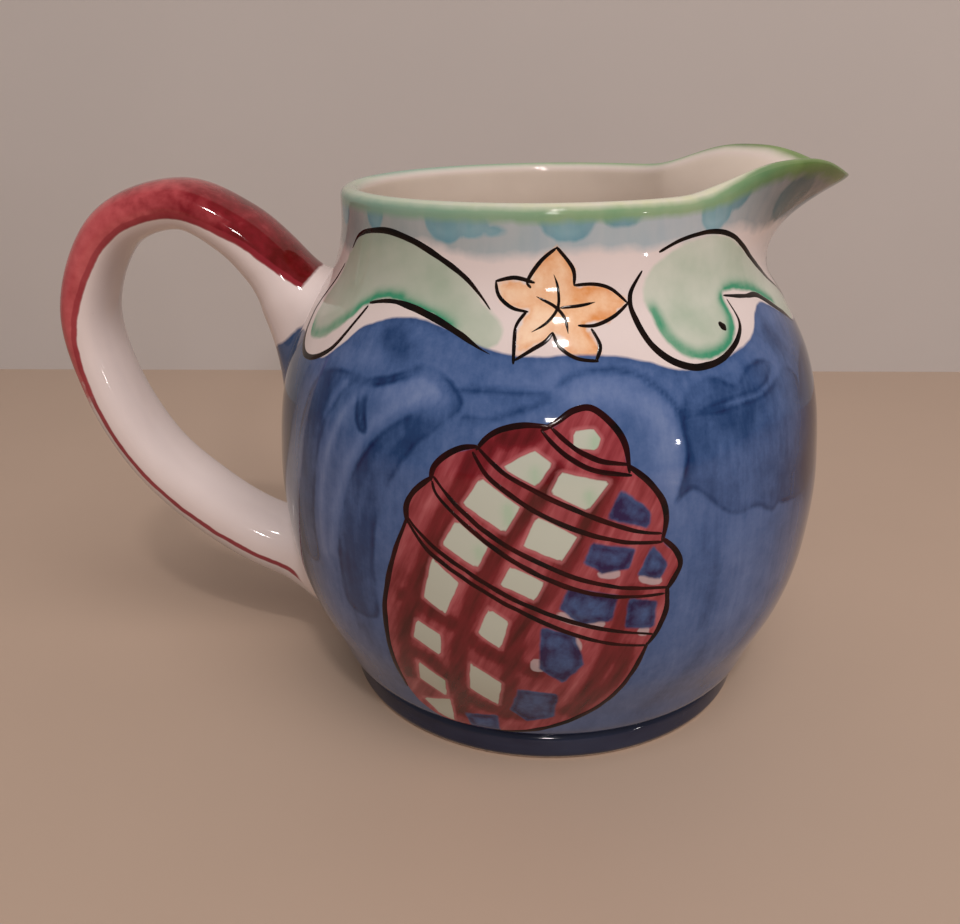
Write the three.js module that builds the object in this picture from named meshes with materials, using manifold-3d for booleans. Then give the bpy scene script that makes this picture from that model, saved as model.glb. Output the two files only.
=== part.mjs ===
// A wide-bellied ceramic pitcher with a beak spout and one strap handle.
// Millimetres, +Z up. The origin lies on the body's axis in the plane the foot stands on.
// +X points to the spout, -X to the handle.

import * as THREE from 'three';
import { mergeVertices } from 'three/addons/utils/BufferGeometryUtils.js';
import Module from 'manifold-3d';

const wasm = await Module();
wasm.setup();

// ---- driving dimensions ------------------------------------------------------------------

const SEAM = 0.3;                 // slip seam left between two luted pieces

const FOOT_RADIUS = 58;
const FOOT_HEIGHT = 8;
const RECESS_RADIUS = 49;         // shallow turned recess that leaves a standing ring
const RECESS_DEPTH = 1;

const WALL = 5;
const FLOOR = 6;
const BELLY_RADIUS = 75;
const BELLY_LEVEL = 62;
const NECK_RADIUS = 54;           // outside, just under the rim
const RIM_LEVEL = 141;
const LIP_RADIUS = WALL / 2;

const SPOUT_REACH = 25;           // how far the beak's tip stands out from the round rim
const SPOUT_ROOT_LEVEL = 117;     // where the beak starts to leave the neck
const SPOUT_HALF_ANGLE = THREE.MathUtils.degToRad(46);
const TIP_ROUNDING = 0.08;        // as a share of the half angle
const ROOT_BLEND = 0.06;          // softens the start of the beak, as a share of the reach
const CHEEK_RISE = 6.4;           // the two cheeks beside the tip stand above the rim
const CHEEK_ANGLE = THREE.MathUtils.degToRad(25);
const CHEEK_SPREAD = THREE.MathUtils.degToRad(17);
const CUT_HALF_WIDTH = 42;        // the V cut in the neck, measured at the top of the cut
const CUT_TOP_LEVEL = 152;
const CUT_NOSE_RADIUS = 5;

const STRAP_WIDTH = 23.6;
const STRAP_SQUARENESS = 0.88;    // below 1 the section fills out from an oval to a strap
const UPPER_PAD_END = 0.115;      // shares of the strap's run where the joint pads end
const LOWER_PAD_END = 0.925;
const PAD_FLARE = 1.28;           // how far a pad spreads on the pot's wall

const ROUND_SEGMENTS = 64;
const OUTER_STEPS = 24;
const INNER_STEPS = 16;
const LIP_STEPS = 6;
const STRAP_SEGMENTS = 40;
const PAD_SEGMENTS = 7;
const SECTION_SEGMENTS = 20;

// ---- helpers -----------------------------------------------------------------------------

// Closed solid from a geometry: only positions are kept, doubled vertices are merged and
// the triangles that collapse at a pole are dropped.
function toSolid(geometry) {
  const bare = geometry.clone();
  bare.deleteAttribute('normal');
  bare.deleteAttribute('uv');
  const merged = mergeVertices(bare, 1e-4);
  const index = merged.index.array;
  const kept = [];
  for (let i = 0; i < index.length; i += 3) {
    const [a, b, c] = [index[i], index[i + 1], index[i + 2]];
    if (a !== b && b !== c && c !== a) kept.push(a, b, c);
  }
  return new wasm.Manifold(new wasm.Mesh({
    numProp: 3,
    vertProperties: Float32Array.from(merged.attributes.position.array),
    triVerts: Uint32Array.from(kept),
  }));
}

function toGeometry(solid) {
  const mesh = solid.getMesh();
  const geometry = new THREE.BufferGeometry();
  geometry.setAttribute('position', new THREE.BufferAttribute(mesh.vertProperties, 3));
  geometry.setIndex(new THREE.BufferAttribute(mesh.triVerts, 1));
  geometry.computeVertexNormals();
  return geometry;
}

// Moves every vertex of a geometry by a rule that takes and changes one point.
function reshape(geometry, rule) {
  const places = geometry.attributes.position;
  const point = new THREE.Vector3();
  for (let i = 0; i < places.count; i += 1) {
    point.fromBufferAttribute(places, i);
    rule(point);
    places.setXYZ(i, point.x, point.y, point.z);
  }
  return geometry;
}

// Profile points are (radius, height); the lathe turns about Z.
function turned(points) {
  const geometry = new THREE.LatheGeometry(points, ROUND_SEGMENTS);
  geometry.rotateX(Math.PI / 2);
  return geometry;
}

const smooth = (from, to, x) => THREE.MathUtils.smoothstep(x, from, to);

function named(name, solid, colour, roughness) {
  const material = new THREE.MeshStandardMaterial({ color: colour, roughness, metalness: 0 });
  const mesh = new THREE.Mesh(toGeometry(solid), material);
  mesh.name = name;
  return mesh;
}

// ---- body profile ------------------------------------------------------------------------

// Outer line of the pot from the foot to just under the lip.
const BODY_BOTTOM = FOOT_HEIGHT + SEAM;
const outerLine = new THREE.SplineCurve([
  new THREE.Vector2(FOOT_RADIUS - 0.4, BODY_BOTTOM + 0.5),
  new THREE.Vector2(61.0, BODY_BOTTOM + 2.7),
  new THREE.Vector2(64.0, 18),
  new THREE.Vector2(69.8, 31),
  new THREE.Vector2(73.5, 45),
  new THREE.Vector2(BELLY_RADIUS, BELLY_LEVEL),
  new THREE.Vector2(74.6, 75),
  new THREE.Vector2(73.0, 87),
  new THREE.Vector2(69.6, 99),
  new THREE.Vector2(63.4, 110.5),
  new THREE.Vector2(57.2, 120),
  new THREE.Vector2(54.6, 129),
  new THREE.Vector2(NECK_RADIUS, RIM_LEVEL - LIP_RADIUS),
]);

// The outer line moved inwards along its own normal, from the lip down to the floor's corner.
function innerLine() {
  const points = [];
  const lowest = 0.085;           // share of the outer line's length
  for (let i = 0; i <= INNER_STEPS; i += 1) {
    const u = 1 - (1 - lowest) * (i / INNER_STEPS);
    const point = outerLine.getPointAt(u);
    const along = outerLine.getTangentAt(u);
    points.push(new THREE.Vector2(point.x - WALL * along.y, point.y + WALL * along.x));
  }
  return points;
}

function lipArc() {
  const points = [];
  const centre = NECK_RADIUS - LIP_RADIUS;
  for (let i = 1; i < LIP_STEPS; i += 1) {
    const angle = (Math.PI * i) / LIP_STEPS;
    points.push(new THREE.Vector2(
      centre + LIP_RADIUS * Math.cos(angle),
      RIM_LEVEL - LIP_RADIUS + LIP_RADIUS * Math.sin(angle),
    ));
  }
  return points;
}

function potProfile() {
  const floorLevel = BODY_BOTTOM + FLOOR;
  const wallDown = innerLine();
  const last = wallDown[wallDown.length - 1];
  return [
    new THREE.Vector2(0, BODY_BOTTOM),
    new THREE.Vector2(FOOT_RADIUS - 3, BODY_BOTTOM),
    ...outerLine.getSpacedPoints(OUTER_STEPS),
    ...lipArc(),
    ...wallDown,
    new THREE.Vector2(last.x - 2.6, floorLevel + 1.1),
    new THREE.Vector2(last.x - 6.5, floorLevel + 0.2),
    new THREE.Vector2(last.x - 14, floorLevel),
    new THREE.Vector2(0, floorLevel),
  ];
}

// ---- the beak ----------------------------------------------------------------------------

// Share of the full reach at an angle from the spout's middle: a straight fall to each side,
// rounded at the tip and softened where it meets the round rim.
function reachShare(angle) {
  const a = Math.abs(angle) / SPOUT_HALF_ANGLE;
  const fall = Math.hypot(a, TIP_ROUNDING) - TIP_ROUNDING * Math.max(0, 1 - a);
  const share = 1 - fall;
  return 0.5 * (share + Math.hypot(share, ROOT_BLEND));
}

function cheekShare(angle) {
  const away = Math.abs(Math.abs(angle) - CHEEK_ANGLE) / CHEEK_SPREAD;
  return Math.exp(-(away ** 2.6));
}

// Draws the upper neck outwards and upwards into the beak.
function drawOutBeak(point) {
  const angle = Math.atan2(point.y, point.x);
  const height = Math.max(0, (point.z - SPOUT_ROOT_LEVEL) / (RIM_LEVEL - SPOUT_ROOT_LEVEL));
  const radius = Math.hypot(point.x, point.y);
  if (height === 0 || radius < 1) return;
  const drawn = radius + SPOUT_REACH * reachShare(angle) * height ** 2;
  point.x *= drawn / radius;
  point.y *= drawn / radius;
  point.z += CHEEK_RISE * cheekShare(angle) * height ** 1.6;
}

// Turns the lathe's even columns so that they stand closer together round the spout.
function crowdColumns(point) {
  const angle = Math.atan2(point.y, point.x);
  const turn = -0.42 * Math.sin(angle);
  point.applyAxisAngle(new THREE.Vector3(0, 0, 1), turn);
}

function potWithBeak() {
  const geometry = turned(potProfile());
  reshape(geometry, crowdColumns);
  reshape(geometry, drawOutBeak);
  return toSolid(geometry);
}

// The V-shaped notch in the neck that the beak fills, as a prism along X.
function beakPrism(extra) {
  const bottom = SPOUT_ROOT_LEVEL + 1;
  const nose = CUT_NOSE_RADIUS + extra;
  const outline = new THREE.Shape();
  outline.moveTo(-CUT_HALF_WIDTH - extra * 1.4, CUT_TOP_LEVEL);
  outline.lineTo(-nose, bottom + nose * 0.4);
  outline.quadraticCurveTo(0, bottom - nose * 0.6 - extra * 0.4, nose, bottom + nose * 0.4);
  outline.lineTo(CUT_HALF_WIDTH + extra * 1.4, CUT_TOP_LEVEL);
  outline.closePath();
  const prism = new THREE.ExtrudeGeometry(outline, { depth: 80, bevelEnabled: false, curveSegments: 6 });
  prism.rotateX(Math.PI / 2);
  prism.rotateZ(Math.PI / 2);
  prism.translate(15, 0, 0);
  return toSolid(prism);
}

// ---- foot --------------------------------------------------------------------------------

function footSolid() {
  const bevel = 1;
  return toSolid(turned([
    new THREE.Vector2(0, RECESS_DEPTH),
    new THREE.Vector2(RECESS_RADIUS, RECESS_DEPTH),
    new THREE.Vector2(RECESS_RADIUS + RECESS_DEPTH, 0),
    new THREE.Vector2(FOOT_RADIUS - bevel, 0),
    new THREE.Vector2(FOOT_RADIUS, bevel),
    new THREE.Vector2(FOOT_RADIUS, FOOT_HEIGHT - bevel),
    new THREE.Vector2(FOOT_RADIUS - bevel, FOOT_HEIGHT),
    new THREE.Vector2(0, FOOT_HEIGHT),
  ]));
}

// ---- handle ------------------------------------------------------------------------------

// Middle line of the strap, from inside the shoulder's wall to inside the belly's wall.
const strapLine = new THREE.CatmullRomCurve3([
  [-61.5, 99],
  [-69.3, 111.5],
  [-75.6, 120.6],
  [-84.2, 128.9],
  [-98.5, 135.6],
  [-117.5, 129.6],
  [-128.8, 108],
  [-126, 85],
  [-115.7, 63.5],
  [-102, 49],
  [-88.4, 39],
  [-75, 32.6],
  [-62, 27.6],
].map(([x, z]) => new THREE.Vector3(x, 0, z)));

// Thickness of the strap along its run: stout at both roots and slim over the top.
const strapThickness = new THREE.SplineCurve([
  [0, 21],
  [0.1, 17.4],
  [0.25, 13.6],
  [0.45, 13.6],
  [0.65, 14.6],
  [0.82, 17.4],
  [1, 20.4],
].map(([u, t]) => new THREE.Vector2(u, t)));

// A rounded strap between two shares of the run. flare gives a factor on the section.
function strapSolid(from, to, rings, flare) {
  const rod = new THREE.CylinderGeometry(1, 1, 1, SECTION_SEGMENTS, rings);
  reshape(rod, (point) => {
    const u = from + (to - from) * (point.y + 0.5);
    const centre = strapLine.getPointAt(u);
    const along = strapLine.getTangentAt(u);
    const across = Math.sign(point.z) * Math.abs(point.z) ** STRAP_SQUARENESS;
    const inward = Math.sign(point.x) * Math.abs(point.x) ** STRAP_SQUARENESS;
    const grow = flare(u);
    const thick = 0.5 * strapThickness.getPoint(u).y * grow * inward;
    point.set(
      centre.x - along.z * thick,
      0.5 * STRAP_WIDTH * grow * across,
      centre.z + along.x * thick,
    );
  });
  return toSolid(rod);
}

// The pot's outside as a full solid, grown by the slip seam, to trim what is luted to it.
function potOutside() {
  const line = outerLine.getSpacedPoints(OUTER_STEPS);
  return toSolid(turned([
    new THREE.Vector2(0, BODY_BOTTOM),
    ...line.map((point) => new THREE.Vector2(point.x + SEAM, point.y)),
    new THREE.Vector2(0, RIM_LEVEL),
  ]));
}

// ---- assembly ----------------------------------------------------------------------------

const pot = potWithBeak();
const bodySolid = pot.subtract(beakPrism(SEAM));
const spoutSolid = pot.intersect(beakPrism(0));

const halfSeam = SEAM / 2 / strapLine.getLength();
const handleSolid = strapSolid(
  UPPER_PAD_END + halfSeam,
  LOWER_PAD_END - halfSeam,
  STRAP_SEGMENTS,
  () => 1,
);

const outside = potOutside();
const spread = PAD_FLARE - 1;
const upperFlare = (u) => 1 + spread * (1 - smooth(0, UPPER_PAD_END, u));
const lowerFlare = (u) => 1 + spread * smooth(LOWER_PAD_END, 1, u);
const upperPad = strapSolid(0, UPPER_PAD_END - halfSeam, PAD_SEGMENTS, upperFlare).subtract(outside);
const lowerPad = strapSolid(LOWER_PAD_END + halfSeam, 1, PAD_SEGMENTS, lowerFlare).subtract(outside);

const pitcher = new THREE.Group();
pitcher.add(
  named('body', bodySolid, '#3f5c9a', 0.14),
  named('spout', spoutSolid, '#6c9a52', 0.14),
  named('foot', footSolid(), '#1f2b4a', 0.2),
  named('handle', handleSolid, '#a83a3f', 0.14),
  named('handle_upper_joint', upperPad, '#e6dbd6', 0.16),
  named('handle_lower_joint', lowerPad, '#e6dbd6', 0.16),
);

export default pitcher;
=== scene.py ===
"""A glazed, hand-painted ceramic pitcher: its looks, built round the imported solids.

Shapes are worked out in millimetres and written to the meshes in metres.
+Z is up, +X runs to the spout, -X to the handle and -Y to the painted front.
"""

import math

import bpy
import numpy as np
from mathutils import Matrix, Vector


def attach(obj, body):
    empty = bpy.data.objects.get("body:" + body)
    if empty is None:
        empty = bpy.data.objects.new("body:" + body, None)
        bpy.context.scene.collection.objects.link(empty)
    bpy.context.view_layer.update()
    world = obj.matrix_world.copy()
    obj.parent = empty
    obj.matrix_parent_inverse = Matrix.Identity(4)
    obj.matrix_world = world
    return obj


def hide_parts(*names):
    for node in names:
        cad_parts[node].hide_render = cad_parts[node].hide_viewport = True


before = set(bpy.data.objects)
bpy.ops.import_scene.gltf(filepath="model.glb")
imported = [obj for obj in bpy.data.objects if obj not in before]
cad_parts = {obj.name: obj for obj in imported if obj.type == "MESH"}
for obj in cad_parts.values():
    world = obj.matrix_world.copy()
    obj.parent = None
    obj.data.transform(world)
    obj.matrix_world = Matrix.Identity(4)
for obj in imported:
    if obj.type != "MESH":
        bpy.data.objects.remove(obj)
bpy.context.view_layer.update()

MM = 0.001

# ---- the pot's measures, the same as the solids' --------------------------------------------

FOOT_RADIUS = 58.0
FOOT_HEIGHT = 8.0
RECESS_RADIUS = 49.0
WALL = 5.0
FLOOR_LEVEL = 14.3
NECK_RADIUS = 54.0
RIM_LEVEL = 141.0
LIP_RADIUS = 2.5
BED_LEVEL = 7.9
INSIDE_SHARE = 0.915
INSIDE_CROWDING = 1.4
SPOUT_CROWDING = 0.2

OUTSIDE_LINE = [
    (57.6, 8.8), (61, 11), (64, 18), (69.8, 31), (73.5, 45), (75, 62), (74.6, 75), (73, 87),
    (69.6, 99), (63.4, 110.5), (57.2, 120), (54.6, 129), (54, 138.5),
]

BEAK_REACH = 25.0
BEAK_ROOT_LEVEL = 117.0
BEAK_HALF_ANGLE = math.radians(46)
TIP_ROUNDING = 0.08
ROOT_BLEND = 0.06
CHEEK_RISE = 6.4
CHEEK_ANGLE = math.radians(25)
CHEEK_SPREAD = math.radians(17)

STRAP_LINE = [
    (-61.5, 99), (-69.3, 111.5), (-75.6, 120.6), (-84.2, 128.9), (-98.5, 135.6), (-117.5, 129.6),
    (-128.8, 108), (-126, 85), (-115.7, 63.5), (-102, 49), (-88.4, 39), (-75, 32.6), (-62, 27.6),
]
STRAP_THICKNESS = [
    (0, 21), (0.1, 17.4), (0.25, 13.6), (0.45, 13.6), (0.65, 14.6), (0.82, 17.4), (1, 20.4),
]
STRAP_WIDTH = 23.6
STRAP_SQUARENESS = 0.88
UPPER_ROOT_END = 0.115
LOWER_ROOT_END = 0.925
ROOT_FLARE = 0.28
ROOT_SUNK = 2.5
FILLET_HEIGHT = 2.4
FILLET_REACH = 2.6
LUTED_LENGTH = 0.08
LUTED_DEPTH = 0.5
TONGUE_LENGTH = 0.09
TONGUE_DROP = 24.0

COLUMNS = 480
OUTSIDE_ROWS = 142
LIP_ROWS = 11
INSIDE_ROWS = 33


# ---- lines ----------------------------------------------------------------------------------


def curve_through(points, count, pull=0.0, closed=False):
    """A smooth line through given points (Catmull-Rom). Between two neighbours it is the
    cubic that leaves and arrives along the chords of the points beside them. pull 0.5 spaces
    the knots by the root of each chord, 0 evenly. Gives count places, even in the parameter."""
    p = np.asarray(points, float)
    if closed:
        p = np.vstack([p[-1], p, p[0], p[1]])
    elif pull:
        p = np.vstack([2 * p[0] - p[1], p, 2 * p[-1] - p[-2]])
    else:
        p = np.vstack([p[0], p, p[-1]])
    spans = len(p) - 3
    t = np.linspace(0, spans, count, endpoint=not closed)
    i = np.minimum(t.astype(int), spans - 1)
    t = (t - i)[:, None]
    a, b, c, d = p[i], p[i + 1], p[i + 2], p[i + 3]
    before = np.linalg.norm(b - a, axis=1)[:, None] ** pull
    across = np.linalg.norm(c - b, axis=1)[:, None] ** pull
    after = np.linalg.norm(d - c, axis=1)[:, None] ** pull
    leave = ((b - a) / before - (c - a) / (before + across) + (c - b) / across) * across
    arrive = ((c - b) / across - (d - b) / (across + after) + (d - c) / after) * across
    return (
        (2 * t**3 - 3 * t**2 + 1) * b
        + (t**3 - 2 * t**2 + t) * leave
        + (3 * t**2 - 2 * t**3) * c
        + (t**3 - t**2) * arrive
    )


def travelled(line):
    """Length run along a line of places up to each of them: the running sum of its steps."""
    steps = np.linalg.norm(np.diff(line, axis=0), axis=1)
    return np.concatenate([[0.0], np.cumsum(steps)])


def at_lengths(line, lengths):
    """The places on a line at given lengths along it, by straight interpolation."""
    run = travelled(line)
    return np.stack([np.interp(lengths, run, line[:, k]) for k in range(line.shape[1])], 1)


def even_steps(line, count):
    """The same line with its places at equal lengths."""
    return at_lengths(line, np.linspace(0, travelled(line)[-1], count))


def directions(line):
    """Unit tangent at each place: the central difference, made length one."""
    along = np.gradient(line, axis=0)
    return along / np.linalg.norm(along, axis=1)[:, None]


def eased(low, high, x):
    """Smoothstep: 0 below low, 1 above high, 3t^2 - 2t^3 between."""
    t = np.clip((x - low) / (high - low), 0, 1)
    return t * t * (3 - 2 * t)


# ---- the pot's surface ----------------------------------------------------------------------

OUTSIDE = even_steps(curve_through(OUTSIDE_LINE, 3000), 1500)
OUTSIDE_RUN = travelled(OUTSIDE)
OUTSIDE_LENGTH = OUTSIDE_RUN[-1]


def outside_radius(height):
    """The unworked pot's outer radius at a height, read off the outside line."""
    return np.interp(height, OUTSIDE[:, 1], OUTSIDE[:, 0])


def radius_along(up):
    """The same radius, by the travel up the outside line."""
    return np.interp(up, OUTSIDE_RUN, OUTSIDE[:, 0])


def beak_drawn(x, y, z):
    """Draws the upper neck out into the beak. With a the share of the half angle, the reach
    falls off as 1 - a, rounded at the tip and where it meets the rim, and grows with the square
    of the height above the beak's root. The two cheeks rise by a bell of the angle."""
    angle = np.arctan2(y, x)
    radius = np.hypot(x, y)
    height = np.maximum(0, (z - BEAK_ROOT_LEVEL) / (RIM_LEVEL - BEAK_ROOT_LEVEL))
    a = np.abs(angle) / BEAK_HALF_ANGLE
    share = 1 - (np.hypot(a, TIP_ROUNDING) - TIP_ROUNDING * np.maximum(0, 1 - a))
    reach = 0.5 * (share + np.hypot(share, ROOT_BLEND))
    cheek = np.exp(-((np.abs(np.abs(angle) - CHEEK_ANGLE) / CHEEK_SPREAD) ** 2.6))
    drawn = 1 + BEAK_REACH * reach * height**2 / np.maximum(radius, 1)
    return np.stack([x * drawn, y * drawn, z + CHEEK_RISE * cheek * height**1.6], -1)


def hand_turned(angle, radius, height):
    """The slight unevenness of a pot made by hand: a sum of a few long waves round and up the
    wall, at most a quarter of a millimetre, none at the foot or near the axis."""
    wave = (
        0.10 * np.sin(2 * angle + 0.7 + height / 31)
        + 0.07 * np.sin(3 * angle + 2.1 - height / 23)
        + 0.05 * np.sin(5 * angle + height / 17)
        + 0.04 * np.sin(height / 4.3 + 0.6 * np.sin(angle))
    )
    return wave * eased(9, 24, height) * eased(30, 45, radius)


def worked(angle, radius, height):
    """A place on the finished pot from its angle about the axis, radius and height on the
    profile: the uneven radius is turned round the axis and the beak drawn out of it."""
    uneven = radius + hand_turned(angle, radius, height)
    return beak_drawn(uneven * np.cos(angle), uneven * np.sin(angle), height + 0 * angle)


def on_pot(around, up):
    """A place on the outside: around in degrees from the front towards the spout, up in
    millimetres along the outside line from the foot. Past the lip it turns over the rim."""
    angle = np.radians(np.asarray(around, float) - 90)
    over = np.clip((up - OUTSIDE_LENGTH) / LIP_RADIUS, 0, math.pi)
    radius = radius_along(up) - LIP_RADIUS * (1 - np.cos(over))
    height = np.interp(up, OUTSIDE_RUN, OUTSIDE[:, 1]) + LIP_RADIUS * np.sin(over)
    return worked(angle, radius, height)


def facing_on_pot(around, up):
    """Unit normal of the outside: the cross product of the steps round and up the surface."""
    round_step = on_pot(around + 0.2, up) - on_pot(around - 0.2, up)
    up_step = on_pot(around, up + 0.2) - on_pot(around, up - 0.2)
    normal = np.cross(round_step, up_step)
    return normal / np.linalg.norm(normal, axis=-1)[:, None]


# ---- meshes ---------------------------------------------------------------------------------


def closed_skin(rings, first=None, last=None):
    """A closed skin over a stack of rings, an array of rows by columns by 3. Each row joins the
    next with quads, the columns run round and meet, and each end row is closed by a fan to its
    middle, or to the place given. Faces look outwards where the columns run anticlockwise
    about the rows' direction."""
    rows, columns = rings.shape[:2]
    i, j = np.meshgrid(np.arange(rows - 1) * columns, np.arange(columns), indexing="ij")
    k = (j + 1) % columns
    quads = np.stack([i + j, i + k, i + columns + k, i + columns + j], -1)
    first = rings[0].mean(0) if first is None else np.asarray(first, float)
    last = rings[-1].mean(0) if last is None else np.asarray(last, float)
    c = np.arange(columns)
    n = (c + 1) % columns
    top = (rows - 1) * columns
    hub = np.full(columns, rows * columns)
    opening = np.stack([hub, n, c], 1)
    closing = np.stack([hub + 1, top + c, top + n], 1)
    places = np.vstack([rings.reshape(-1, 3), first, last])
    return places, quads.reshape(-1, 4), np.vstack([opening, closing])


def put(name, data):
    """A new object of the scene."""
    made = bpy.data.objects.new(name, data)
    bpy.context.scene.collection.objects.link(made)
    return made


def piece(name, skins, material, stands_for=()):
    """One object from closed skins laid side by side in one mesh, smooth, riding on the root."""
    offsets = np.cumsum([0] + [len(s[0]) for s in skins[:-1]])
    places = np.vstack([s[0] for s in skins]) * MM
    quads = np.vstack([s[1] + o for s, o in zip(skins, offsets)])
    fans = np.vstack([s[2] + o for s, o in zip(skins, offsets)])
    mesh = bpy.data.meshes.new(name)
    mesh.from_pydata(places.tolist(), [], quads.tolist() + fans.tolist())
    mesh.polygons.foreach_set("use_smooth", np.ones(len(mesh.polygons), bool))
    mesh.materials.append(material)
    mesh.update()
    made = put(name, mesh)
    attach(made, "root")
    if stands_for:
        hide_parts(*stands_for)
    return made


def note(made, name, values):
    """Keeps one number for each vertex under a name that the material reads."""
    layer = made.data.attributes.new(name, "FLOAT", "POINT")
    layer.data.foreach_set("value", np.asarray(values, np.float32))


# ---- painting: distances on the surface -----------------------------------------------------

OUTSIDE_SHEET = -20.0


def wrapped(degrees):
    """An angle brought between -180 and 180 degrees."""
    return (degrees + 180) % 360 - 180


def folded(around):
    """The angle of the front half, -90 to 90 degrees, whose mirror image lies at an angle."""
    turned = wrapped(around)
    return np.where(np.abs(turned) > 90, np.sign(turned) * 180 - turned, turned)


def close_to(places, line, margin):
    """True where a place lies within a margin of the box round a line."""
    return ((places > line.min(0) - margin) & (places < line.max(0) + margin)).all(1)


def gap_to(places, line):
    """Distance from each place to the nearest point of a line of straight steps."""
    start, step = line[:-1], np.diff(line, axis=0)
    square = np.maximum((step**2).sum(1), 1e-9)
    nearest = np.full(len(places), 1e9)
    for part in np.array_split(np.arange(len(places)), max(1, len(places) * len(start) // 3000000)):
        away = places[part][:, None] - start
        t = np.clip((away * step).sum(2) / square, 0, 1)
        nearest[part] = np.sqrt(((away - t[..., None] * step) ** 2).sum(2)).min(1)
    return nearest


def within(places, outline):
    """True where a place lies inside a closed outline: a ray to the right crosses it an odd
    number of times."""
    a, b = outline, np.roll(outline, -1, axis=0)
    y = places[:, 1][:, None]
    spans = (a[:, 1] > y) != (b[:, 1] > y)
    rise = np.where(a[:, 1] == b[:, 1], 1e-9, b[:, 1] - a[:, 1])
    crossing = a[:, 0] + (y - a[:, 1]) * (b[:, 0] - a[:, 0]) / rise
    return (spans & (places[:, 0][:, None] < crossing)).sum(1) % 2 == 1


def depth_in(places, outline):
    """Depth inside a closed outline in millimetres, negative outside."""
    ring = np.vstack([outline, outline[:1]])
    return gap_to(places, ring) * np.where(within(places, outline), 1, -1)


class Placing:
    """Where a motif is painted: its middle on the pot, a turn in degrees, a size and whether it
    is mirrored. Its own sheet is flat: across and up in millimetres on the surface."""

    def __init__(self, around, up, turn=0.0, size=1.0, mirrored=False):
        self.around, self.up, self.size = around, up, size
        self.side = -1.0 if mirrored else 1.0
        self.cos, self.sin = math.cos(math.radians(turn)), math.sin(math.radians(turn))

    def on_sheet(self, around, up):
        """From the pot to the sheet: the arc from the middle, turned back and scaled back."""
        u = self.side * np.radians(wrapped(around - self.around)) * radius_along(up)
        v = up - self.up
        flat = np.stack([self.cos * u + self.sin * v, self.cos * v - self.sin * u], 1)
        return flat / self.size

    def to_pot(self, flat):
        """From the sheet to the pot, the other way round."""
        p = np.asarray(flat, float) * self.size
        u = self.cos * p[:, 0] - self.sin * p[:, 1]
        v = self.cos * p[:, 1] + self.sin * p[:, 0]
        up = self.up + v
        return self.around + np.degrees(self.side * u / radius_along(up)), up


# ---- motifs, drawn on flat sheets in millimetres ---------------------------------------------

STAR_EDGE = [
    [(0, 13), (-3.2, 10.3), (-6, 6.2), (-5.4, 4.6)],
    [(-4.6, 5.6), (-9, 6.7), (-13.2, 5.8)],
    [(-13, 5.8), (-12.4, 2.8), (-9.6, 0.2), (-6, -0.6)],
    [(-6.4, -0.5), (-8.6, -3.6), (-9.2, -7.4), (-9.4, -12.5)],
    [(-9.2, -11.8), (-5.6, -9.4), (-2.5, -7.4), (-0.8, -5.2)],
    [(-0.8, -5.2), (0.6, -8.6), (4.2, -11.2), (8.9, -12)],
    [(8.3, -12), (9.2, -8.4), (7.4, -4.6)],
    [(4.6, -3.8), (8.4, -3.9), (12.6, -2), (15.8, 0.8)],
    [(15.8, 0.8), (12, 4), (8.2, 5.2), (3.8, 5)],
    [(3.8, 5), (3.6, 8.6), (0, 13.2)],
]
STAR_OUTLINE = [
    (0, 13), (-3.2, 10.3), (-6, 6.2), (-9.2, 6.6), (-13, 5.8), (-12.2, 2.6), (-9.6, 0.2),
    (-6.2, -0.6), (-8.6, -3.6), (-9.4, -12.3), (-5.6, -9.4), (-0.8, -5.2), (0.8, -8.6),
    (4.2, -11.2), (8.8, -11.9), (9.1, -8.4), (6.8, -3.9), (11, -2.9), (15.7, 0.8), (12, 4),
    (8.2, 5.1), (3.9, 5), (3.5, 8.8),
]
STAR_CREASES = [
    [(-0.5, 7.4), (0.4, 4.6), (0.4, 0.4), (-2, -3), (-5.4, -5.2)],
    [(0.3, 0.2), (4.6, 0.6), (8.4, 1.3)],
    [(-4.2, 2.8), (-0.2, 0.4), (1.8, -2.2), (2.4, -5.6)],
]

TAIL_TOP = [
    (-16.4, 13), (-12, 16.8), (-1.7, 18.8), (7, 17.6), (13.5, 15.2), (22.5, 10.4), (30.2, 3.6),
]
TAIL_FIN = [
    (-20.5, 8.6), (-27, 1.6), (-31.2, -6), (-30.6, -12.4), (-26, -15.8), (-19, -15.8),
    (-11.6, -12.6), (-6.6, -7), (-2.4, 1),
]
TAIL_LOW = [(-2.4, 1.8), (4.4, 3.2), (12, 2.4), (21.6, -0.6), (34.4, -6.6)]
TAIL_BODY = [
    (-16, 13), (-8, 18), (2, 18.4), (12, 16.2), (22, 10.6), (29.5, 4), (35, -1), (33, -5.6),
    (21.6, -0.4), (12, 2.8), (3, 3.6), (-2.8, 1.6), (-8.6, -4.6), (-17, -10.4), (-24.5, -11.6),
    (-27.4, -8.6), (-26, -1), (-20, 8),
]
TAIL_DEEP = [
    [(-1.6, 2.6), (1.6, 4.8), (7, 4.4)],
    [(-26, -9.4), (-19, -8.2), (-11, -3.6), (-3.6, 1.8)],
    [(8, 3), (16, 1.4), (22, -0.8)],
]

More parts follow.
